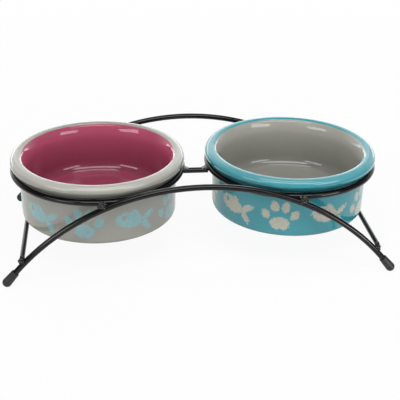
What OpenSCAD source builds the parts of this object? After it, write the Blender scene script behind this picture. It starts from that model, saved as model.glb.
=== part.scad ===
// Raised double pet bowl: two glazed ceramic bowls hang by their rolled rims in the rings
// of a bent wire stand. +X runs from bowl to bowl, -Y is the front, Z = 0 is the floor and
// the origin is on the floor, half way between the bowls. All sizes are millimetres.

/* [Bowls] */
// Outside diameter of each bowl, over its rolled rim
bowl_d = 120; // [108:1:124]
// Height of each bowl, from its foot to the top of its rim
bowl_h = 44.2; // [36:0.2:60]
// Gap between the two bowls' rims
bowl_gap = 15; // [12:0.5:30]
// Thickness of the rolled rim
rim_d = 9.2; // [8:0.1:11]
// Thickness of the wall just under the rim
wall_t = 5.76; // [4.5:0.02:7]
// How much the outside narrows from the rim to the foot, on the radius
outer_draft = 0.5; // [0:0.1:2]
// How much the inside narrows from the rim to the floor, on the radius
inner_draft = 0.3; // [0:0.1:2]
// Radius of the flare between the rim's round inner side and the inner wall
flare_r = 16; // [8:0.5:18]
// Direction on the rim where that flare starts, with 90 on the crest
flare_turn = 145; // [140:1:160]
// Thickness of the bowl's floor
floor_t = 5.2; // [4:0.1:8]
// Radius of the corner between the inner wall and the floor
inner_corner_r = 4; // [2:0.5:8]
// Radius of the outer edge round the foot
outer_corner_r = 3; // [1:0.5:5]
// Radius of the cove where the wall meets the underside of the rim
cove_r = 1.2; // [0.6:0.1:1.6]
// Width of the flat that the bowl stands on when it is lifted out
foot_w = 4.5; // [3:0.5:8]
// Height of the foot under the bowl's floor
foot_h = 3.4; // [1:0.2:5]
// Thickness of the coloured glaze inside the bowl
glaze_t = 0.4; // [0.3:0.05:0.8]
// Direction on the rim where the inner colour starts, with 90 on the crest
glaze_edge_turn = 115; // [95:1:135]

/* [Stand] */
// Length of the stand, over its foot caps
stand_l = 264; // [256:1:290]
// Height of the bowls' feet above the floor
bowl_lift = 23.4; // [21:0.2:40]
// How far the top of the arches rises above the middle of the rings
arch_over = 12.7; // [10:0.1:20]
// Diameter of the arches' wire
arch_wire_d = 4; // [3:0.1:5]
// Diameter of the rings' wire
ring_wire_d = 4; // [3:0.1:5]
// Diameter of the link bar between the rings
link_d = 4; // [3:0.1:5]
// How far the link bar lies in front of the bowls' centres
link_forward = 4; // [0:0.5:10]
// Diameter of the two crossbars
bar_d = 3.3; // [2.5:0.1:5]
// Gap between the crossbars and the level of the bowls' feet
bar_under = 0.55; // [0.4:0.05:4]
// How far each crossbar runs on past the middle of a leg
bar_overhang = 0.8; // [0:0.1:2]
// Bevel on the cut ends of the bars
wire_bevel = 0.4; // [0.1:0.1:0.8]

/* [Foot caps] */
// Diameter of a foot cap at its round tip
cap_tip_d = 6.3; // [5.8:0.1:9]
// Diameter of a foot cap at its mouth
cap_mouth_d = 5.3; // [5.2:0.1:8]
// Length of a foot cap
cap_l = 12.5; // [10:0.5:20]
// Thickness of rubber between the wire's end and the middle of the round tip
cap_web = 0.8; // [0:0.1:3]
// Depth of the flat where the tip presses on the floor
cap_flat = 0.25; // [0.1:0.05:0.5]
// Bevel round the mouth of a foot cap
cap_bevel = 0.3; // [0.1:0.1:0.4]

/* [Welds] */
// How far a ring weld stands out past half the gap between its wires
ring_weld_proud = 0.7; // [0.4:0.1:1.5]
// Length of a ring weld, along its wires
ring_weld_l = 8.4; // [6:0.2:12]
// Thickness of a crossbar weld
bar_weld_d = 4.4; // [3:0.1:6]
// Length of a crossbar weld, along the leg
bar_weld_l = 7.5; // [5:0.1:10]
// Distance from a crossbar's middle to the middle of its weld
bar_weld_offset = 2.4; // [1:0.1:3.5]
// Height and reach of the fillet between the link bar and a ring
link_weld_r = 2.4; // [1.5:0.1:3]
// Width of the fillet between the link bar and a ring
link_weld_w = 3.2; // [2:0.1:4]

/* [Fits] */
// Gap between the rim and the ring that carries it
seat_gap = 0.3; // [0.2:0.05:0.6]
// Play between the bowl's wall and the inside of its ring
bowl_play = 1.9; // [1.4:0.1:3]
// Gap between two wires that a weld joins
weld_gap = 0.1; // [0.05:0.05:0.5]
// Gap between a leg and the bore of its foot cap
cap_gap = 0.05; // [0:0.05:0.2]
// Straight length of leg that shows above a foot cap
leg_lead = 0.65; // [0:0.05:3]

/* [Hidden] */
// Facets round a bowl, a sphere or a bar, round the section of a bent wire, and along its bend
$fn = 96;
section_fn = 64;
bend_fn = 360;

left = -1;
right = 1;
front = -1;
rear = 1;

// Bowl: radii from its own axis, heights from its own foot
rim_r = rim_d / 2;
rim_c = bowl_d / 2 - rim_r;
rim_z = bowl_h - rim_r;
flare_x = rim_c + (rim_r - flare_r) * cos(flare_turn);
flare_z = rim_z + (rim_r - flare_r) * sin(flare_turn);
inner_r = flare_x - flare_r;
wall_r = inner_r + wall_t;
foot_r = wall_r - outer_draft;
floor_z = foot_h + floor_t;
floor_r = inner_r - inner_draft;
foot_outer_r = foot_r - outer_corner_r;

// Rings, at the height that holds the bowls by their rims
ring_r = wall_r + bowl_play + ring_wire_d / 2;
seat_reach = rim_r + ring_wire_d / 2 + seat_gap;
seat_rise = sqrt(pow(seat_reach, 2) - pow(ring_r - rim_c, 2));
ring_h = bowl_lift + rim_z - seat_rise;
bowl_x = (bowl_d + bowl_gap) / 2;

// Arches: an arc over both bowls, with a straight end in each foot cap
cap_r = cap_tip_d / 2;
cap_mouth = cap_l - cap_r;
tip_x = stand_l / 2 - cap_r;
tip_z = cap_r - cap_flat;
arch_top = ring_h + arch_over - arch_wire_d / 2;
arch_rise = arch_top - tip_z;
leg_l = cap_mouth + leg_lead;
leg_lap = 0.5;
leg_slim = 0.04;
arch_r = (pow(tip_x, 2) + pow(arch_rise, 2) - pow(leg_l, 2)) / (2 * arch_rise);
arch_cz = arch_top - arch_r;
arch_turn = atan2(tip_x, arch_r - arch_rise) - atan2(leg_l, arch_r);
arch_y = ring_r + (ring_wire_d + arch_wire_d) / 2 + weld_gap;

// Crossbars, on the outer side of the legs and just lower than the bowls
bar_h = bowl_lift - bar_under - bar_d / 2;
bar_r = arch_r + (arch_wire_d + bar_d) / 2 + weld_gap;
bar_turn = acos((bar_h - arch_cz) / bar_r);

// Link bar, under both rings
link_z = ring_h - (ring_wire_d + link_d) / 2 - weld_gap;
link_end = bowl_x - sqrt(pow(ring_r, 2) - pow(link_forward, 2));

// Ring welds, close to where an arch comes nearest to a ring
level_x = sqrt(pow(arch_r, 2) - pow(ring_h - arch_cz, 2));
ring_weld_share = 0.43;
ring_weld_x = level_x + ring_weld_share * (bowl_x - level_x);
ring_weld_ring_y = sqrt(pow(ring_r, 2) - pow(bowl_x - ring_weld_x, 2));
ring_weld_arch_z = arch_cz + sqrt(pow(arch_r, 2) - pow(ring_weld_x, 2));
ring_weld_y = (ring_weld_ring_y + arch_y) / 2;
ring_weld_z = (ring_h + ring_weld_arch_z) / 2;
ring_weld_half = norm([arch_y - ring_weld_ring_y, ring_h - ring_weld_arch_z]) / 2;
ring_weld_r = ring_weld_half + ring_weld_proud;
ring_weld_tilt = asin(ring_weld_x / arch_r) / 2;
bead_end_share = 0.3;

grey_glaze = "#A3A29A";
raspberry_glaze = "#9A2F52";
turquoise_glaze = "#3FA3B8";
black_coat = "#1C1C1B";
black_rubber = "#222222";

// Space inside the bowl, grown on every side
module hollow_outline(grow) {
  corner_r = inner_corner_r + grow;
  corner_x = floor_r - inner_corner_r;
  corner_z = floor_z + inner_corner_r;
  difference() {
    polygon([
      [0, floor_z - grow], [corner_x, floor_z - grow], [corner_x, corner_z],
      [floor_r + grow, corner_z], [inner_r + grow, flare_z],
      [flare_x, flare_z], [flare_x, bowl_h], [0, bowl_h]
    ]);
    translate([flare_x, flare_z]) circle(r = flare_r - grow);
  }
  intersection() {
    translate([corner_x, corner_z]) circle(r = corner_r);
    translate([corner_x, floor_z - grow]) square([corner_r, corner_r]);
  }
}

// Rounded wall and foot, filled in to the axis, up to where the flare meets the rim
module wall_outline(cut) {
  top_z = rim_z + (rim_r - cut) * sin(flare_turn);
  cove_z = rim_z - sqrt(pow(rim_r, 2) - pow(wall_r + cove_r - rim_c, 2));
  polygon([
    [0, 0], [foot_outer_r, 0], [foot_outer_r, outer_corner_r], [foot_r, outer_corner_r],
    [wall_r, rim_z], [wall_r, top_z], [0, top_z]
  ]);
  translate([foot_outer_r, outer_corner_r]) circle(r = outer_corner_r);
  difference() {
    translate([inner_r, cove_z - cove_r]) square([wall_r - inner_r + cove_r, rim_z - cove_z + cove_r]);
    translate([wall_r + cove_r, cove_z - cove_r]) circle(r = cove_r);
    translate([wall_r + cove_r, cove_z - cove_r]) square([rim_d, rim_d]);
  }
}

// Whole wall of the bowl, with its inside and its rim cut back by the given depth
module bowl_outline(cut) {
  difference() {
    wall_outline(cut);
    hollow_outline(cut);
    square([foot_outer_r - foot_w, foot_h]);
  }
  translate([rim_c, rim_z]) circle(r = rim_r - cut);
}

// Layer of the inner colour: the floor, the wall and the inner side of the rim
module glaze_outline() {
  edge_x = bowl_d * cos(glaze_edge_turn);
  edge_z = bowl_d * sin(glaze_edge_turn);
  mid_wall_x = (inner_r + wall_r) / 2;
  intersection() {
    difference() {
      bowl_outline(0);
      bowl_outline(glaze_t);
    }
    polygon([
      [0, 0], [mid_wall_x, 0], [mid_wall_x, flare_z], [rim_c, rim_z],
      [rim_c + edge_x, rim_z + edge_z], [0, rim_z + edge_z]
    ]);
  }
}

module bowl(side, glaze) {
  color(glaze)
    translate([side * bowl_x, 0, bowl_lift])
      rotate_extrude()
        difference() {
          bowl_outline(0);
          glaze_outline();
        }
}

module inner_glaze(side, glaze) {
  color(glaze)
    translate([side * bowl_x, 0, bowl_lift])
      rotate_extrude()
        glaze_outline();
}

module ring(side) {
  color(black_coat)
    translate([side * bowl_x, 0, ring_h])
      rotate_extrude($fn = bend_fn)
        translate([ring_r, 0]) circle(d = ring_wire_d, $fn = section_fn);
}

// Puts a shape in the plane of an arch, with the arc's centre as the origin and Y up
module in_arch_plane(end) {
  translate([0, end * arch_y, arch_cz])
    rotate([90, 0, 0])
      children();
}

// Puts a shape where a leg's straight end starts, with Z down the leg
module on_leg(side, end) {
  in_arch_plane(end)
    rotate([0, 0, -side * arch_turn])
      translate([0, arch_r, 0])
        rotate([0, side * 90, 0])
          children();
}

// Bent wire whose straight ends, a hair thinner, run back into the bend as one piece with it
module arch(end) {
  color(black_coat) {
    in_arch_plane(end)
      rotate([0, 0, 90 - arch_turn])
        rotate_extrude(angle = 2 * arch_turn, $fn = bend_fn)
          translate([arch_r, 0]) circle(d = arch_wire_d, $fn = section_fn);
    for (side = [left, right])
      on_leg(side, end)
        translate([0, 0, -leg_lap])
          cylinder(d = arch_wire_d - leg_slim, h = leg_l - cap_web + leg_lap, $fn = section_fn);
  }
}

// Round bar along Z from its middle, with bevelled ends
module bar(d, l) {
  r = d / 2;
  half = l / 2;
  rotate_extrude()
    polygon([
      [0, -half], [r - wire_bevel, -half], [r, -half + wire_bevel],
      [r, half - wire_bevel], [r - wire_bevel, half], [0, half]
    ]);
}

module crossbar(side) {
  color(black_coat)
    translate([side * bar_r * sin(bar_turn), 0, bar_h])
      rotate([90, 0, 0])
        bar(bar_d, 2 * (arch_y + bar_overhang));
}

module ring_link() {
  color(black_coat)
    translate([0, -link_forward, link_z])
      rotate([0, 90, 0])
        bar(link_d, 2 * link_end);
}

// Cap from the middle of its round tip, with Z towards its mouth
module cap_shape() {
  mouth_r = cap_mouth_d / 2;
  rotate_extrude()
    difference() {
      union() {
        intersection() {
          circle(r = cap_r);
          translate([0, -cap_r]) square([cap_r, cap_r]);
        }
        polygon([
          [0, 0], [cap_r, 0], [mouth_r, cap_mouth - cap_bevel], [mouth_r - cap_bevel, cap_mouth], [0, cap_mouth]
        ]);
      }
      translate([0, cap_web]) square([arch_wire_d / 2 + cap_gap, cap_mouth]);
    }
}

module foot_cap(side, end) {
  color(black_rubber)
    difference() {
      on_leg(side, end)
        translate([0, 0, leg_l])
          rotate([180, 0, 0])
            cap_shape();
      translate([side * tip_x, end * arch_y, -cap_r]) cube([cap_tip_d, cap_tip_d, cap_tip_d], center = true);
    }
}

// Bead of weld metal along X, thick in the middle and thinner at its blunt ends
module weld_bead(d, l) {
  bulge = d * (1 - bead_end_share) / 2;
  side_r = (pow(l / 2, 2) + pow(bulge, 2)) / (2 * bulge);
  rotate([0, 90, 0])
    rotate_extrude()
      intersection() {
        translate([d / 2 - side_r, 0]) circle(r = side_r);
        translate([0, -l / 2]) square([d, l]);
      }
}

// Bead between an arch and a ring, fused into both wires
module ring_weld(side, end) {
  color(black_coat)
    translate([side * ring_weld_x, end * ring_weld_y, ring_weld_z])
      rotate([0, side * ring_weld_tilt, 0])
        weld_bead(2 * ring_weld_r, ring_weld_l);
}

// Bead on the foot side of a crossbar, fused into the bar and the leg
module bar_weld(side, end) {
  color(black_coat)
    in_arch_plane(end)
      rotate([0, 0, -side * (bar_turn + atan2(bar_weld_offset, arch_r))])
        translate([0, arch_r + arch_wire_d / 2, 0])
          weld_bead(bar_weld_d, bar_weld_l);
}

// Fillet that rises from the link bar to the outer side of a ring
module link_weld(side) {
  ring_face = link_end - ring_wire_d / 2;
  foot = ring_face - link_weld_r;
  top = link_d / 2 + link_weld_r;
  color(black_coat)
    difference() {
      translate([0, -link_forward + link_weld_w / 2, link_z])
        rotate([90, 0, 0])
          linear_extrude(height = link_weld_w)
            mirror([side > 0 ? 0 : 1, 0])
              difference() {
                translate([foot, 0]) square([link_end - foot, top]);
                translate([foot, top]) circle(r = link_weld_r);
              }
      ring(side);
      ring_link();
    }
}

bowl(left, grey_glaze);  // left_bowl
inner_glaze(left, raspberry_glaze);  // left_bowl_inner_glaze
bowl(right, turquoise_glaze);  // right_bowl
inner_glaze(right, grey_glaze);  // right_bowl_inner_glaze
arch(front);  // front_arch
arch(rear);  // rear_arch
ring(left);  // left_ring
ring(right);  // right_ring
ring_link();
crossbar(left);  // left_crossbar
crossbar(right);  // right_crossbar
foot_cap(left, front);  // front_left_foot_cap
foot_cap(right, front);  // front_right_foot_cap
foot_cap(left, rear);  // rear_left_foot_cap
foot_cap(right, rear);  // rear_right_foot_cap
ring_weld(left, front);  // front_left_ring_weld
ring_weld(right, front);  // front_right_ring_weld
ring_weld(left, rear);  // rear_left_ring_weld
ring_weld(right, rear);  // rear_right_ring_weld
link_weld(left);  // left_link_weld
link_weld(right);  // right_link_weld
bar_weld(left, front);  // front_left_bar_weld
bar_weld(right, front);  // front_right_bar_weld
bar_weld(left, rear);  // rear_left_bar_weld
bar_weld(right, rear);  // rear_right_bar_weld
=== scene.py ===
import math

import bmesh
import bpy
from mathutils import Matrix, Vector, noise


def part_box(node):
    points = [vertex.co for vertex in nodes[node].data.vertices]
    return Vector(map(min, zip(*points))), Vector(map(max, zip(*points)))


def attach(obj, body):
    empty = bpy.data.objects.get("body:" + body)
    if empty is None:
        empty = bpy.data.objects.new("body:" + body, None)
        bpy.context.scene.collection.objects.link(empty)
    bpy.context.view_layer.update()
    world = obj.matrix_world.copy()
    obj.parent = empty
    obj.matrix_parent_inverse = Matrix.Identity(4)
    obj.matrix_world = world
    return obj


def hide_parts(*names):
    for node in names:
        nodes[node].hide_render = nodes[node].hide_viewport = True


# Raised double pet bowl: two glazed stoneware bowls hang in the rings of a black wire stand.
# Everything is in metres, +X runs from bowl to bowl, -Y is the front and Z = 0 is the floor.
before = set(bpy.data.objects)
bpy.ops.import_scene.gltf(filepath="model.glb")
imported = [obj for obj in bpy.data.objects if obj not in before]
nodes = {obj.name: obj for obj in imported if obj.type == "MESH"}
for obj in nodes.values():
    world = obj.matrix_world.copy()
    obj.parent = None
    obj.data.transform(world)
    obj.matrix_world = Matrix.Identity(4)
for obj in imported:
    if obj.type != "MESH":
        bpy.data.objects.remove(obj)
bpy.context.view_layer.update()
scene = bpy.context.scene
MM = 0.001

# Camera, fitted to the rims, rings, arches and feet of the photograph, which is 400 pixels wide
PHOTO_PX = 400
FOCAL_PX = 892.4
SENSOR_MM = 36.0
CAMERA_PLACE = Vector((-0.06128, -0.57075, 0.31506))
CAMERA_AIM = Vector((0.00438, 0.0, 0.0270))
CAMERA_ROLL = math.radians(1.061)

# Studio room: a direction's Y says how far back it points and its Z how far up, at most 1.
# In reflections a white backdrop fades to a dark side, and the room's own light comes in level.
BACKDROP_STARTS_Y = 0.25
BACKDROP_FULL_Y = 0.65
BACKDROP_FULL_Z = 0.3
BACKDROP_ENDS_Z = 1.1
DARK_SIDE_GLOW = 0.08
LEVEL_TOP_Z = 0.18
OVERHEAD_Z = 0.34
LEVEL_GLOW = 2.4
OVERHEAD_GLOW = 0.10
LIGHT_AIM = Vector((0.0, 0.0, 0.05))

# Studio table: its size in metres, how much of its real shade it shows near the object and how far
# out that fades, its white, and the grey that it has for the light it throws back
TABLE_SIZE = 8.0
TABLE_SHADE_SHARE = 0.08
TABLE_SHADE_NEAR = 0.2
TABLE_SHADE_FAR = 0.8
TABLE_WHITE = "#FAFAFA"
TABLE_BOUNCE_GREY = "#7C7C7C"

# Bowl sizes that the finishes follow, in millimetres from the bowl's axis and from its foot. The
# sweep is the wide round between the inside's floor and wall.
BOWL_R_MM = 60.0
BOWL_H_MM = 44.2
RIM_ROLL_R_MM = 4.6
FOOT_OUTER_R_MM = 51.0
FOOT_W_MM = 4.5
INNER_R_MM = 48.44
INNER_FLOOR_MM = 8.6
SWEEP_R_MM = 7.5
SWEEP_LEAST_MM2 = 0.001

# Turns round the rim's roll: 0 is its outermost side, 90 degrees its crest and 180 its innermost
# side. The dipped line wavers to both sides of its turn, in radians, and has a soft edge. The rim is
# paler to both sides of its middle, where the glaze runs thin and where painted light brightens its
# upward-facing round, and UNDER is where the roll turns under.
DIPPED_LINE = math.radians(126)
DIPPED_WAVER = 0.08
DIPPED_BLUR = 0.03
PALE_RIM_MIDDLE = math.radians(60)
PALE_RIM_FULL = math.radians(18)
PALE_RIM_ENDS = math.radians(46)
UNDER_LOW = math.radians(-62)
UNDER_HIGH = math.radians(8)
UNDER_LEAN_MM = 3.3

# Glaze: sizes of its clouds, grain, drips and waves, the depth of its waves and pits, and how far
# clouds and grain change the tone
GLAZE_IOR = 1.58
GLAZE_SMOOTHEST = 0.012
GLAZE_ROUGHEST = 0.03
CLOUD_MM = 18.0
GRAIN_MM = 0.9
DRIP_MM = 5.0
WAVE_MM = 9.0
WAVE_DEPTH_MM = 0.006
PIT_DEPTH_MM = 0.002
CLOUD_TONE = 0.06
GRAIN_TONE = 0.03

# Painted shade on the inside of the wall, darker towards its foot and a little lighter at its top: the
# heights and distances that it covers
WALL_SHADE_FOOT_MM = 14.0
WALL_SHADE_TOP_MM = 36.0
WALL_SHADE_STARTS_R_MM = 42.0
WALL_SHADE_FULL_R_MM = 47.0
WALL_SHADE_FOOT_TONE = 0.8
WALL_SHADE_TOP_TONE = 1.06

# Foot ring, bare of glaze up to this height and a little past its inner edge
BARE_FULL_MM = 0.45
BARE_ENDS_MM = 0.7
BARE_MARGIN_MM = 0.4
CLAY_ROUGHNESS = 0.9

# Brushed prints round each bowl's wall: they hop up and down and tilt as they go round, on a wave
# whose step from print to print and whose tilt are in radians
PRINTS_ROUND = 10
PRINT_WALL_R_MM = 54.3
PRINT_MID_MM = 14.2
PRINT_SIZE = 1.15
PRINT_MARGIN_MM = 1.0
HOP_STEP = 2.2
HOP_MM = 1.4
HOP_TILT = 0.28

# Paint of the prints: ragged edges, dry gaps between specks, and a chalky unevenness
BRISTLE_MM = 1.3
RAGGED_MM = 1.7
PAINT_BLUR_MM = 0.3
SPECK_MM = 1.0
DRY_BELOW = 0.32
COVERED_ABOVE = 0.42
DRY_COVER = 0.3
CHALK_TONE = 0.2
PAINT_ROUGHNESS = 0.25

# Black finishes: patches of dust, and the chips in the coat of a weld that bare its steel
DUST_PATCH_MM = 4.0
DUST_STARTS = 0.45
DUST_FULL = 0.75
CHIP_MM = 1.1
CHIP_STARTS = 0.56
CHIP_FULL = 0.62

# Weld beads: how much of the bead is a plain ball, the height and fineness of its lumps, and how far
# their pattern moves from one bead to the next
BEAD_CORE = 0.90
BEAD_LUMPS = ((0.36, 1.7), (0.30, 3.4), (0.16, 7.0))
BEAD_DRIFT = (3.7, 1.9, 5.3)

# Dabs of the brush in each motif, in millimetres: middle x and y, half width and height, and tilt.
# The last one is left bare.
PAW = [(-8.6, 2.0, 2.4, 3.2, 0.5), (-3.2, 7.2, 2.5, 3.4, 0.15), (3.2, 7.2, 2.5, 3.4, -0.15),
       (8.6, 2.0, 2.4, 3.2, -0.5), (0.0, -3.6, 5.8, 4.4, 0.0), (0.0, -8.8, 1.5, 1.7, 0.0)]
FISH = [(-2.8, 0.0, 8.4, 5.0, 0.0), (8.6, 2.9, 4.6, 1.9, 0.75), (8.6, -2.9, 4.6, 1.9, -0.75),
        (-0.6, 5.0, 2.6, 1.2, -0.4), (-6.6, 1.0, 1.5, 1.5, 0.0)]

# Colours of the glazes, the brushed prints and the clay
GREY = "#A09F97"
RASPBERRY = "#A94D67"
TURQUOISE = "#389AA6"
TEAL_PRINT = "#8FBBBF"
CREAM_PRINT = "#BFBEAE"
PALE_BODY_AND_PAINTED_LIGHT = "#F0EEE8"
BARE_CLAY = "#CFC3AE"
DARK_CLAY = "#B9AA90"


def linear(hex_colour):
    """An sRGB hex colour as linear RGBA."""
    channels = [int(hex_colour[i:i + 2], 16) / 255 for i in (1, 3, 5)]
    return (*[c / 12.92 if c <= 0.04045 else ((c + 0.055) / 1.055) ** 2.4 for c in channels], 1.0)


def add(tree, kind, inputs=None, **settings):
    """Adds a node: inputs are values, or the nodes and sockets that feed them.

    A Mix node's sockets go by number: 0 is the share, 2 and 3 are numbers, 4 and 5 vectors, 6 and 7
    colours, and it gives out a number at 0, a vector at 1 and a colour at 2."""
    made = tree.nodes.new(kind)
    for name, value in settings.items():
        setattr(made, name, value)
    for socket, value in (inputs or {}).items():
        if isinstance(value, bpy.types.Node):
            value = value.outputs[0]
        if isinstance(value, bpy.types.NodeSocket):
            tree.links.new(value, made.inputs[socket])
        else:
            made.inputs[socket].default_value = value
    return made


def new_material(name):
    material = bpy.data.materials.new(name)
    material.use_nodes = True
    material.node_tree.nodes.clear()
    return material, material.node_tree


# Camera and studio

def photo_camera():
    data = bpy.data.cameras.new("photo_camera")
    data.sensor_width = SENSOR_MM
    data.lens = SENSOR_MM * FOCAL_PX / PHOTO_PX
    camera = bpy.data.objects.new("photo_camera", data)
    level = (CAMERA_AIM - CAMERA_PLACE).to_track_quat("-Z", "Y").to_matrix()
    turned = level @ Matrix.Rotation(CAMERA_ROLL, 3, "Z")
    camera.matrix_world = Matrix.Translation(CAMERA_PLACE) @ turned.to_4x4()
    scene.collection.objects.link(camera)
    scene.camera = camera


def soft_box(name, place, width, height, glow, lights_only=None):
    """A flat soft light that faces the bowls; glow is how bright its face is, where white is 1.

    With lights_only, a collection, its light falls on the objects in it and on nothing else."""
    data = bpy.data.lights.new(name, "AREA")
    data.shape = "RECTANGLE"
    data.size = width
    data.size_y = height
    data.energy = glow * math.pi * width * height
    lamp = bpy.data.objects.new(name, data)
    aim = (LIGHT_AIM - Vector(place)).to_track_quat("-Z", "Y")
    lamp.matrix_world = Matrix.Translation(place) @ aim.to_matrix().to_4x4()
    lamp.visible_camera = False
    lamp.light_linking.receiver_collection = lights_only
    scene.collection.objects.link(lamp)


def studio_room():
    """Plain white to the eye. In reflections it is a white backdrop behind the table and dark in
    front and overhead, and its own light comes from all round, level with the table."""
    world = bpy.data.worlds.new("studio_room")
    world.use_nodes = True
    tree = world.node_tree
    tree.nodes.clear()
    way = add(tree, "ShaderNodeTexCoord")
    axes = add(tree, "ShaderNodeSeparateXYZ", {0: way.outputs["Generated"]})
    behind = add(tree, "ShaderNodeMapRange",
                 {"Value": axes.outputs["Y"], "From Min": BACKDROP_STARTS_Y, "From Max": BACKDROP_FULL_Y})
    low = add(tree, "ShaderNodeMapRange",
              {"Value": axes.outputs["Z"], "From Min": BACKDROP_ENDS_Z, "From Max": BACKDROP_FULL_Z})
    backdrop = add(tree, "ShaderNodeMath", {0: behind, 1: low}, operation="MULTIPLY")
    mirrored = add(tree, "ShaderNodeMapRange", {"Value": backdrop, "To Min": DARK_SIDE_GLOW, "To Max": 1.0})
    cast = add(tree, "ShaderNodeMapRange",
               {"Value": axes.outputs["Z"], "From Min": LEVEL_TOP_Z, "From Max": OVERHEAD_Z,
                "To Min": LEVEL_GLOW, "To Max": OVERHEAD_GLOW})
    path = add(tree, "ShaderNodeLightPath")
    unseen = add(tree, "ShaderNodeMix",
                 {0: path.outputs["Is Glossy Ray"], 2: cast, 3: mirrored}, data_type="FLOAT")
    seen = add(tree, "ShaderNodeMath",
               {0: path.outputs["Is Camera Ray"], 1: path.outputs["Is Transmission Ray"]},
               operation="MAXIMUM")
    glow = add(tree, "ShaderNodeMix", {0: seen, 2: unseen, 3: 1.0}, data_type="FLOAT")
    back = add(tree, "ShaderNodeBackground", {"Color": (1, 1, 1, 1), "Strength": glow})
    add(tree, "ShaderNodeOutputWorld", {"Surface": back})
    scene.world = world


def studio_table():
    """Pale table: white to the eye and in reflections, with part of its real shade round the object.

    Seen from below it is clear, so that the underside of the stand can be looked at."""
    material, tree = new_material("pale_studio_table")
    path = add(tree, "ShaderNodeLightPath")
    pair = add(tree, "ShaderNodeMath",
               {0: path.outputs["Is Camera Ray"], 1: path.outputs["Is Glossy Ray"]}, operation="MAXIMUM")
    seen = add(tree, "ShaderNodeMath",
               {0: pair, 1: path.outputs["Is Transmission Ray"]}, operation="MAXIMUM")
    bounce = add(tree, "ShaderNodeBsdfDiffuse", {"Color": linear(TABLE_BOUNCE_GREY)})
    shade = add(tree, "ShaderNodeBsdfDiffuse", {"Color": linear(TABLE_WHITE)})
    white = add(tree, "ShaderNodeEmission", {"Color": (1, 1, 1, 1), "Strength": 1.0})
    spot = add(tree, "ShaderNodeTexCoord")
    reach = add(tree, "ShaderNodeVectorMath", {0: spot.outputs["Object"]}, operation="LENGTH")
    share = add(tree, "ShaderNodeMapRange",
                {"Value": reach.outputs["Value"], "From Min": TABLE_SHADE_FAR,
                 "From Max": TABLE_SHADE_NEAR, "To Max": TABLE_SHADE_SHARE})
    shown = add(tree, "ShaderNodeMixShader", {0: share, 1: white, 2: shade})
    top = add(tree, "ShaderNodeMixShader", {0: seen, 1: bounce, 2: shown})
    facing = add(tree, "ShaderNodeNewGeometry")
    clear = add(tree, "ShaderNodeBsdfTransparent")
    surface = add(tree, "ShaderNodeMixShader", {0: facing.outputs["Backfacing"], 1: top, 2: clear})
    add(tree, "ShaderNodeOutputMaterial", {"Surface": surface})
    mesh = bpy.data.meshes.new("studio_floor")
    half = TABLE_SIZE / 2
    corners = [(-half, -half, 0), (half, -half, 0), (half, half, 0), (-half, half, 0)]
    mesh.from_pydata(corners, [], [(0, 1, 2, 3)])
    mesh.materials.append(material)
    floor = bpy.data.objects.new("studio_floor", mesh)
    scene.collection.objects.link(floor)


# Brushed prints

def brushed_shape(tree, place, dabs):
    """Distance in millimetres to the edge of a motif made of dabs of paint, the last one left bare."""
    edges = []
    for x, y, half_w, half_h, tilt in dabs:
        dab = {"Vector": place, "Location": (x, y, 0), "Rotation": (0, 0, tilt), "Scale": (half_w, half_h, 1)}
        local = add(tree, "ShaderNodeMapping", dab, vector_type="TEXTURE")
        reach = add(tree, "ShaderNodeVectorMath", {0: local}, operation="LENGTH").outputs["Value"]
        small = min(half_w, half_h)
        edge = add(tree, "ShaderNodeMath", {0: reach, 1: small, 2: -small}, operation="MULTIPLY_ADD")
        edges.append(edge)
    *painted, bare = edges
    shape = painted[0]
    for edge in painted[1:]:
        shape = add(tree, "ShaderNodeMath", {0: shape, 1: edge}, operation="MINIMUM")
    past_bare = add(tree, "ShaderNodeMath", {0: bare, 1: -1.0}, operation="MULTIPLY")
    return add(tree, "ShaderNodeMath", {0: shape, 1: past_bare}, operation="MAXIMUM")


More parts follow.
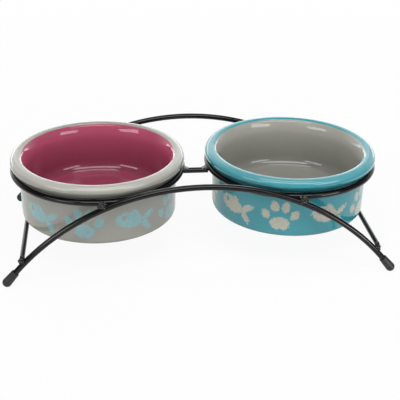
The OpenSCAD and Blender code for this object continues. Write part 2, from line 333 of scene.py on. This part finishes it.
def brushed_prints(tree, place, axes, reach, shift):
    """1 where paint lies: paws and fish in turn, brushed on the wall all the way round the bowl."""
    toward = add(tree, "ShaderNodeMath", {0: axes.outputs["Y"], 1: -1.0}, operation="MULTIPLY")
    angle = add(tree, "ShaderNodeMath", {0: axes.outputs["X"], 1: toward}, operation="ARCTAN2")
    turn = add(tree, "ShaderNodeMath",
               {0: angle, 1: PRINTS_ROUND / math.tau, 2: shift}, operation="MULTIPLY_ADD")
    whole = add(tree, "ShaderNodeMath", {0: turn}, operation="ROUND")
    number = add(tree, "ShaderNodeMath", {0: whole, 1: PRINTS_ROUND}, operation="FLOORED_MODULO")
    share = add(tree, "ShaderNodeMath", {0: turn, 1: whole}, operation="SUBTRACT")
    print_width = math.tau * PRINT_WALL_R_MM / PRINTS_ROUND
    along = add(tree, "ShaderNodeMath", {0: share, 1: print_width}, operation="MULTIPLY")
    spread = add(tree, "ShaderNodeMath", {0: number, 1: HOP_STEP}, operation="MULTIPLY")
    hop = add(tree, "ShaderNodeMath", {0: spread}, operation="SINE")
    middle = add(tree, "ShaderNodeMath", {0: hop, 1: HOP_MM, 2: PRINT_MID_MM}, operation="MULTIPLY_ADD")
    up = add(tree, "ShaderNodeMath", {0: axes.outputs["Z"], 1: middle}, operation="SUBTRACT")
    unrolled = add(tree, "ShaderNodeCombineXYZ", {"X": along, "Y": up})
    tilt = add(tree, "ShaderNodeMath", {0: hop, 1: HOP_TILT}, operation="MULTIPLY")
    tilted = add(tree, "ShaderNodeVectorRotate", {"Vector": unrolled, "Angle": tilt}, rotation_type="Z_AXIS")
    sized = add(tree, "ShaderNodeVectorMath", {0: tilted, "Scale": 1 / PRINT_SIZE}, operation="SCALE")
    is_fish = add(tree, "ShaderNodeMath", {0: number, 1: 2.0}, operation="FLOORED_MODULO")
    edge = add(tree, "ShaderNodeMix",
               {0: is_fish, 2: brushed_shape(tree, sized, PAW), 3: brushed_shape(tree, sized, FISH)},
               data_type="FLOAT")

    # The sponge-like brush leaves a ragged edge and small dry gaps
    bristle = add(tree, "ShaderNodeTexNoise", {"Vector": place, "Scale": 1 / BRISTLE_MM, "Detail": 4.0})
    ragged = add(tree, "ShaderNodeMath",
                 {0: bristle, 1: 2 * RAGGED_MM, 2: -RAGGED_MM}, operation="MULTIPLY_ADD")
    rough_edge = add(tree, "ShaderNodeMath", {0: edge, 1: ragged}, operation="ADD")
    covered = add(tree, "ShaderNodeMapRange",
                  {"Value": rough_edge, "From Min": PAINT_BLUR_MM, "From Max": -PAINT_BLUR_MM})
    speck = add(tree, "ShaderNodeTexNoise", {"Vector": place, "Scale": 1 / SPECK_MM, "Detail": 3.0})
    dry = add(tree, "ShaderNodeMapRange",
              {"Value": speck, "From Min": DRY_BELOW, "From Max": COVERED_ABOVE, "To Min": DRY_COVER})
    painted = add(tree, "ShaderNodeMath", {0: covered, 1: dry}, operation="MULTIPLY")
    on_wall = add(tree, "ShaderNodeMath",
                  {0: reach, 1: FOOT_OUTER_R_MM - PRINT_MARGIN_MM}, operation="GREATER_THAN")
    return add(tree, "ShaderNodeMath", {0: painted, 1: on_wall}, operation="MULTIPLY")


# Glazed stoneware

def bowl_place(tree, bowl):
    """Millimetres from the middle of the bowl's foot, which stay with the bowl when it moves."""
    low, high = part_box(bowl)
    spot = add(tree, "ShaderNodeTexCoord")
    foot = ((low.x + high.x) / 2, (low.y + high.y) / 2, low.z)
    return add(tree, "ShaderNodeMapping",
               {"Vector": spot.outputs["Object"], "Location": foot, "Scale": (MM, MM, MM)},
               vector_type="TEXTURE")


def pooled_corner(tree, axes, flat, reach):
    """Normal of a bowl's inside whose glaze has pooled into a wide sweep between floor and wall."""
    past = add(tree, "ShaderNodeMath", {0: reach, 1: INNER_R_MM - SWEEP_R_MM}, operation="SUBTRACT")
    out = add(tree, "ShaderNodeMath", {0: past, 1: 0.0}, operation="MAXIMUM")
    below = add(tree, "ShaderNodeMath",
                {0: INNER_FLOOR_MM + SWEEP_R_MM, 1: axes.outputs["Z"]}, operation="SUBTRACT")
    down = add(tree, "ShaderNodeMath", {0: below, 1: 0.0}, operation="MAXIMUM")
    step = add(tree, "ShaderNodeMath", {0: out, 1: reach}, operation="DIVIDE")
    back = add(tree, "ShaderNodeMath", {0: step, 1: -1.0}, operation="MULTIPLY")
    inward = add(tree, "ShaderNodeVectorMath", {0: flat, "Scale": back}, operation="SCALE")
    upward = add(tree, "ShaderNodeCombineXYZ", {"Z": down})
    lean = add(tree, "ShaderNodeVectorMath", {0: inward, 1: upward}, operation="ADD")
    unit = add(tree, "ShaderNodeVectorMath", {0: lean}, operation="NORMALIZE")
    turned = add(tree, "ShaderNodeVectorTransform",
                 {"Vector": unit}, vector_type="NORMAL", convert_from="OBJECT", convert_to="WORLD")
    both = add(tree, "ShaderNodeMath", {0: out, 1: down}, operation="MULTIPLY")
    in_sweep = add(tree, "ShaderNodeMath", {0: both, 1: SWEEP_LEAST_MM2}, operation="GREATER_THAN")
    own = add(tree, "ShaderNodeNewGeometry")
    normal = add(tree, "ShaderNodeMix",
                 {0: in_sweep, 4: own.outputs["Normal"], 5: turned}, data_type="VECTOR")
    return normal.outputs[1]


def painted_wall_shade(tree, colour, height, reach):
    """Painted shade on the inside of the wall: darker towards its foot and a little lighter at its top."""
    shade_by_height = add(tree, "ShaderNodeMapRange",
              {"Value": height, "From Min": WALL_SHADE_FOOT_MM, "From Max": WALL_SHADE_TOP_MM,
               "To Min": WALL_SHADE_FOOT_TONE, "To Max": WALL_SHADE_TOP_TONE})
    on_wall = add(tree, "ShaderNodeMapRange",
                  {"Value": reach, "From Min": WALL_SHADE_STARTS_R_MM, "From Max": WALL_SHADE_FULL_R_MM})
    wall_shade_tone = add(tree, "ShaderNodeMix", {0: on_wall, 2: 1.0, 3: shade_by_height}, data_type="FLOAT")
    return add(tree, "ShaderNodeVectorMath", {0: colour, "Scale": wall_shade_tone}, operation="SCALE").outputs[0]


def thin_glaze_and_painted_light_on_rim(tree, colour, turn, pale_rim_share):
    """Glaze that has run thin over the round of the rim lets the pale body show through, and painted light
    brightens the rim's upward-facing round the same way.
    """
    from_middle = add(tree, "ShaderNodeMath", {0: turn, 1: PALE_RIM_MIDDLE}, operation="SUBTRACT")
    aside = add(tree, "ShaderNodeMath", {0: from_middle}, operation="ABSOLUTE")
    paleness = add(tree, "ShaderNodeMapRange",
               {"Value": aside, "From Min": PALE_RIM_ENDS, "From Max": PALE_RIM_FULL, "To Max": pale_rim_share})
    mixed = add(tree, "ShaderNodeMix", {0: paleness, 6: colour, 7: linear(PALE_BODY_AND_PAINTED_LIGHT)}, data_type="RGBA")
    return mixed.outputs[2]


def bare_foot_ring(tree, height, reach):
    """1 on the ring that stood on the kiln shelf."""
    low = add(tree, "ShaderNodeMapRange",
              {"Value": height, "From Min": BARE_ENDS_MM, "From Max": BARE_FULL_MM})
    inner_edge = FOOT_OUTER_R_MM - FOOT_W_MM - BARE_MARGIN_MM
    out = add(tree, "ShaderNodeMath", {0: reach, 1: inner_edge}, operation="GREATER_THAN")
    return add(tree, "ShaderNodeMath", {0: low, 1: out}, operation="MULTIPLY")


def glazed_stoneware(name, bowl, inner_hex, outer_hex, print_hex=None, print_shift=0.0, pale_rim_share=0.0):
    """Dipped and fired glaze. With print_hex it covers a bowl's outside and rim, else its inside.

    print_shift turns the prints round the bowl, and pale_rim_share is how much paler the rim's round
    is, where the pale body shows through thin glaze and where painted light brightens it."""
    is_inside = print_hex is None
    material, tree = new_material(name)
    place = bowl_place(tree, bowl)
    axes = add(tree, "ShaderNodeSeparateXYZ", {0: place})
    height = axes.outputs["Z"]
    flat = add(tree, "ShaderNodeCombineXYZ", {"X": axes.outputs["X"], "Y": axes.outputs["Y"]})
    reach = add(tree, "ShaderNodeVectorMath", {0: flat}, operation="LENGTH").outputs["Value"]
    cloud = add(tree, "ShaderNodeTexNoise", {"Vector": place, "Scale": 1 / CLOUD_MM, "Detail": 3.0})
    grain = add(tree, "ShaderNodeTexNoise", {"Vector": place, "Scale": 1 / GRAIN_MM, "Detail": 2.0})

    # Turn of a point round the rim's roll, seen from the roll's middle
    past_middle = add(tree, "ShaderNodeMath", {0: reach, 1: BOWL_R_MM - RIM_ROLL_R_MM}, operation="SUBTRACT")
    over_middle = add(tree, "ShaderNodeMath", {0: height, 1: BOWL_H_MM - RIM_ROLL_R_MM}, operation="SUBTRACT")
    turn = add(tree, "ShaderNodeMath", {0: over_middle, 1: past_middle}, operation="ARCTAN2")

    # The two glazes meet along a wavering dipped line over the rim
    drip = add(tree, "ShaderNodeTexNoise", {"Vector": place, "Scale": 1 / DRIP_MM, "Detail": 2.0})
    line = add(tree, "ShaderNodeMath",
               {0: drip, 1: 2 * DIPPED_WAVER, 2: DIPPED_LINE - DIPPED_WAVER}, operation="MULTIPLY_ADD")
    beyond = add(tree, "ShaderNodeMath", {0: turn, 1: line}, operation="SUBTRACT")
    past_line = add(tree, "ShaderNodeMapRange",
                    {"Value": beyond, "From Min": -DIPPED_BLUR, "From Max": DIPPED_BLUR})
    on_top = add(tree, "ShaderNodeMath", {0: over_middle, 1: 0.0}, operation="GREATER_THAN")
    inner_share = add(tree, "ShaderNodeMix",
                      {0: on_top, 2: float(is_inside), 3: past_line}, data_type="FLOAT")
    dipped = add(tree, "ShaderNodeMix",
                 {0: inner_share, 6: linear(outer_hex), 7: linear(inner_hex)}, data_type="RGBA")

    # Clouds and grain in the glaze
    drift = add(tree, "ShaderNodeMapRange",
                {"Value": cloud, "To Min": 1 - CLOUD_TONE, "To Max": 1 + CLOUD_TONE})
    fine = add(tree, "ShaderNodeMapRange",
               {"Value": grain, "To Min": 1 - GRAIN_TONE, "To Max": 1 + GRAIN_TONE})
    tone = add(tree, "ShaderNodeMath", {0: drift, 1: fine}, operation="MULTIPLY")
    toned = add(tree, "ShaderNodeVectorMath", {0: dipped.outputs[2], "Scale": tone}, operation="SCALE")
    colour = toned.outputs[0]
    rough = add(tree, "ShaderNodeMapRange",
                {"Value": cloud, "To Min": GLAZE_SMOOTHEST, "To Max": GLAZE_ROUGHEST})
    wave = add(tree, "ShaderNodeTexNoise", {"Vector": place, "Scale": 1 / WAVE_MM, "Detail": 1.0})
    waves = {"Height": wave, "Strength": 1.0, "Distance": WAVE_DEPTH_MM * MM}

    if is_inside:
        # Painted shade: darker low on the inner wall and a little lighter at its top
        colour = painted_wall_shade(tree, colour, height, reach)
        waves["Normal"] = pooled_corner(tree, axes, flat, reach)
        skin = add(tree, "ShaderNodeBump", waves)
    else:
        # Paler round of the rim: thin glaze over it, and painted light on its upward-facing part
        colour = thin_glaze_and_painted_light_on_rim(tree, colour, turn, pale_rim_share)
        paint = brushed_prints(tree, place, axes, reach, print_shift)
        chalk = add(tree, "ShaderNodeMapRange",
                    {"Value": grain, "To Min": 1 - CHALK_TONE, "To Max": 1 + CHALK_TONE})
        brushed = add(tree, "ShaderNodeVectorMath",
                      {0: linear(print_hex)[:3], "Scale": chalk}, operation="SCALE")
        printed = add(tree, "ShaderNodeMix", {0: paint, 6: colour, 7: brushed}, data_type="RGBA")
        rough = add(tree, "ShaderNodeMix", {0: paint, 2: rough, 3: PAINT_ROUGHNESS}, data_type="FLOAT")
        bare = bare_foot_ring(tree, height, reach)
        clay = add(tree, "ShaderNodeMix",
                   {0: grain, 6: linear(BARE_CLAY), 7: linear(DARK_CLAY)}, data_type="RGBA")
        footed = add(tree, "ShaderNodeMix",
                     {0: bare, 6: printed.outputs[2], 7: clay.outputs[2]}, data_type="RGBA")
        colour = footed.outputs[2]
        rough = add(tree, "ShaderNodeMix", {0: bare, 2: rough, 3: CLAY_ROUGHNESS}, data_type="FLOAT")
        # The rim's roll is flatter where it turns under, so that part leans down more than the mesh
        rolled = add(tree, "ShaderNodeBump", waves)
        under = add(tree, "ShaderNodeMapRange",
                    {"Value": turn, "From Min": UNDER_LOW, "From Max": UNDER_HIGH})
        skin = add(tree, "ShaderNodeBump",
                   {"Height": under, "Strength": 1.0, "Distance": UNDER_LEAN_MM * MM, "Normal": rolled})

    pits = add(tree, "ShaderNodeBump",
               {"Height": grain, "Strength": 1.0, "Distance": PIT_DEPTH_MM * MM, "Normal": skin})
    shader = add(tree, "ShaderNodeBsdfPrincipled",
                 {"Base Color": colour, "Roughness": rough, "IOR": GLAZE_IOR, "Normal": pits})
    add(tree, "ShaderNodeOutputMaterial", {"Surface": shader})
    return material


# Coated wire, welds and rubber

def dark_finish(name, hex_colour, dusty_hex, rough_range, peel_mm, peel_depth_mm, ior, bare_steel=None):
    """A black finish with faint dusting and a fine uneven skin, its sizes in millimetres.

    bare_steel is the colour that shows in small chips, where the coat has broken open."""
    material, tree = new_material(name)
    spot = add(tree, "ShaderNodeTexCoord")
    place = add(tree, "ShaderNodeMapping",
                {"Vector": spot.outputs["Object"], "Scale": (MM, MM, MM)}, vector_type="TEXTURE")
    patch = add(tree, "ShaderNodeTexNoise", {"Vector": place, "Scale": 1 / DUST_PATCH_MM, "Detail": 4.0})
    dust = add(tree, "ShaderNodeMapRange",
               {"Value": patch, "From Min": DUST_STARTS, "From Max": DUST_FULL})
    coat = add(tree, "ShaderNodeMix",
               {0: dust, 6: linear(hex_colour), 7: linear(dusty_hex)}, data_type="RGBA")
    rough = add(tree, "ShaderNodeMapRange",
                {"Value": patch, "To Min": rough_range[0], "To Max": rough_range[1]})
    peel = add(tree, "ShaderNodeTexNoise", {"Vector": place, "Scale": 1 / peel_mm, "Detail": 2.0})
    skin = add(tree, "ShaderNodeBump", {"Height": peel, "Strength": 1.0, "Distance": peel_depth_mm * MM})
    look = {"Base Color": coat.outputs[2], "Roughness": rough, "IOR": ior, "Normal": skin}
    if bare_steel:
        fleck = add(tree, "ShaderNodeTexNoise", {"Vector": place, "Scale": 1 / CHIP_MM, "Detail": 3.0})
        chip = add(tree, "ShaderNodeMapRange",
                   {"Value": fleck, "From Min": CHIP_STARTS, "From Max": CHIP_FULL})
        chipped = add(tree, "ShaderNodeMix",
                      {0: chip, 6: coat.outputs[2], 7: linear(bare_steel)}, data_type="RGBA")
        look["Base Color"] = chipped.outputs[2]
        look["Metallic"] = chip
    shader = add(tree, "ShaderNodeBsdfPrincipled", look)
    add(tree, "ShaderNodeOutputMaterial", {"Surface": shader})
    return material


def weld_bead(node, seed, material, grow, move_mm):
    """A frozen bead of weld metal under the coating: a stretched blob with rough, rounded lumps.

    It takes the place of a plain bead, grow times its size and moved outward and up by move_mm."""
    low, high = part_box(node)
    half = (high - low) / 2
    side, end = math.copysign(1, low.x), math.copysign(1, low.y)
    middle = (low + high) / 2 + Vector((side * move_mm[0], end * move_mm[1], move_mm[2])) * MM
    work = bmesh.new()
    bmesh.ops.create_icosphere(work, subdivisions=5, radius=1.0)
    offset = Vector([seed * drift for drift in BEAD_DRIFT])
    for vert in work.verts:
        ball = vert.co.copy()
        lumps = sum(size * noise.noise(ball * fineness + offset) for size, fineness in BEAD_LUMPS)
        stretched = Vector((ball.x * half.x * grow[0], ball.y * half.y * grow[1], ball.z * half.z * grow[2]))
        vert.co = middle + stretched * (BEAD_CORE + lumps)
    mesh = bpy.data.meshes.new(node + "_bead")
    work.to_mesh(mesh)
    work.free()
    for face in mesh.polygons:
        face.use_smooth = True
    mesh.materials.append(material)
    bead = bpy.data.objects.new(node + "_bead", mesh)
    scene.collection.objects.link(bead)
    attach(bead, "stand")
    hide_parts(node)


photo_camera()
studio_room()
studio_table()
soft_box("right_window_box", (0.555, -0.538, 0.47), width=0.45, height=0.22, glow=3.9)
soft_box("left_window_box", (-1.28, -0.85, 0.83), width=0.92, height=0.40, glow=3.7)
soft_box("overhead_box", (0.0, -0.66, 1.10), width=1.5, height=0.34, glow=3.9)
soft_box("top_box", (0.0, -0.06, 1.3), width=0.9, height=0.34, glow=2.8)
soft_box("rear_box", (0.0, 1.25, 0.75), width=1.4, height=1.1, glow=0.9)
soft_box("rear_strip", (0.0, 1.3, 0.15), width=2.8, height=0.24, glow=2.5)

# Lights that draw the light line along the wires. They reach only the stand's wires and foot caps.
stand_names = [name for name in nodes if not name.startswith(("left_bowl", "right_bowl"))]
stand_only = bpy.data.collections.new("stand_only")
for name in stand_names:
    stand_only.objects.link(nodes[name])
soft_box("right_low_box", (0.72, -0.72, 0.075), width=0.40, height=0.15, glow=15.0, lights_only=stand_only)
soft_box("left_low_box", (-0.72, -0.72, 0.33), width=0.40, height=0.16, glow=8.0, lights_only=stand_only)
soft_box("front_high_box", (0.0, -0.98, 0.98), width=1.05, height=0.34, glow=6.0, lights_only=stand_only)

# Powder coat baked on mild steel wire: near black and glossy, so that the lights draw lines along
# it, softened by a fine orange peel
coated_wire = dark_finish(
    "black_powder_coated_steel_wire", "#080808", "#10100F",
    rough_range=(0.08, 0.12), peel_mm=0.7, peel_depth_mm=0.003, ior=1.37)
# The same coat over the lumps of an arc weld: duller, dusty, and glinting where a chip bares steel
coated_weld = dark_finish(
    "black_powder_coated_weld", "#0E0E0D", "#2A2A28",
    rough_range=(0.15, 0.3), peel_mm=0.8, peel_depth_mm=0.05, ior=1.5, bare_steel="#8C8C89")
# Moulded rubber: dull black, greyed a little by a bloom
black_rubber = dark_finish(
    "black_moulded_rubber", "#141414", "#222221",
    rough_range=(0.4, 0.52), peel_mm=0.4, peel_depth_mm=0.01, ior=1.48)

for name in stand_names:
    if name.endswith("_weld"):
        nodes[name].data.materials[0] = coated_weld
    elif name.endswith("_foot_cap"):
        nodes[name].data.materials[0] = black_rubber
    else:
        nodes[name].data.materials[0] = coated_wire

# Stoneware in a warm grey glaze, dipped and fired: a glassy coat over an even colour that mirrors
# the studio in soft waves, with paler brushed prints that are duller than the glaze
nodes["left_bowl"].data.materials[0] = glazed_stoneware(
    "grey_glazed_stoneware", "left_bowl", inner_hex=RASPBERRY, outer_hex=GREY,
    print_hex=TEAL_PRINT, print_shift=0.3, pale_rim_share=0.24)
# Raspberry glaze poured inside: as glassy, with painted shade that darkens it towards the foot of the wall
nodes["left_bowl_inner_glaze"].data.materials[0] = glazed_stoneware(
    "raspberry_inner_glaze", "left_bowl", inner_hex=RASPBERRY, outer_hex=GREY)
# Stoneware in a turquoise glaze, dipped and fired: glassy and strong in colour, with cream prints
nodes["right_bowl"].data.materials[0] = glazed_stoneware(
    "turquoise_glazed_stoneware", "right_bowl", inner_hex=GREY, outer_hex=TURQUOISE,
    print_hex=CREAM_PRINT, print_shift=0.45, pale_rim_share=0.08)
# Warm grey glaze poured inside: pale enough that its floor and wall show the studio's soft light
nodes["right_bowl_inner_glaze"].data.materials[0] = glazed_stoneware(
    "grey_inner_glaze", "right_bowl", inner_hex=GREY, outer_hex=TURQUOISE)

for seed, name in enumerate(sorted(nodes)):
    if name.endswith("ring_weld"):
        weld_bead(name, seed, coated_weld, grow=(0.72, 0.85, 1.0), move_mm=(3.1, 1.9, 0.3))
    elif name.endswith("bar_weld"):
        weld_bead(name, seed, coated_weld, grow=(0.8, 0.85, 0.8), move_mm=(0.0, 0.0, 0.0))

scene.view_settings.view_transform = "Standard"
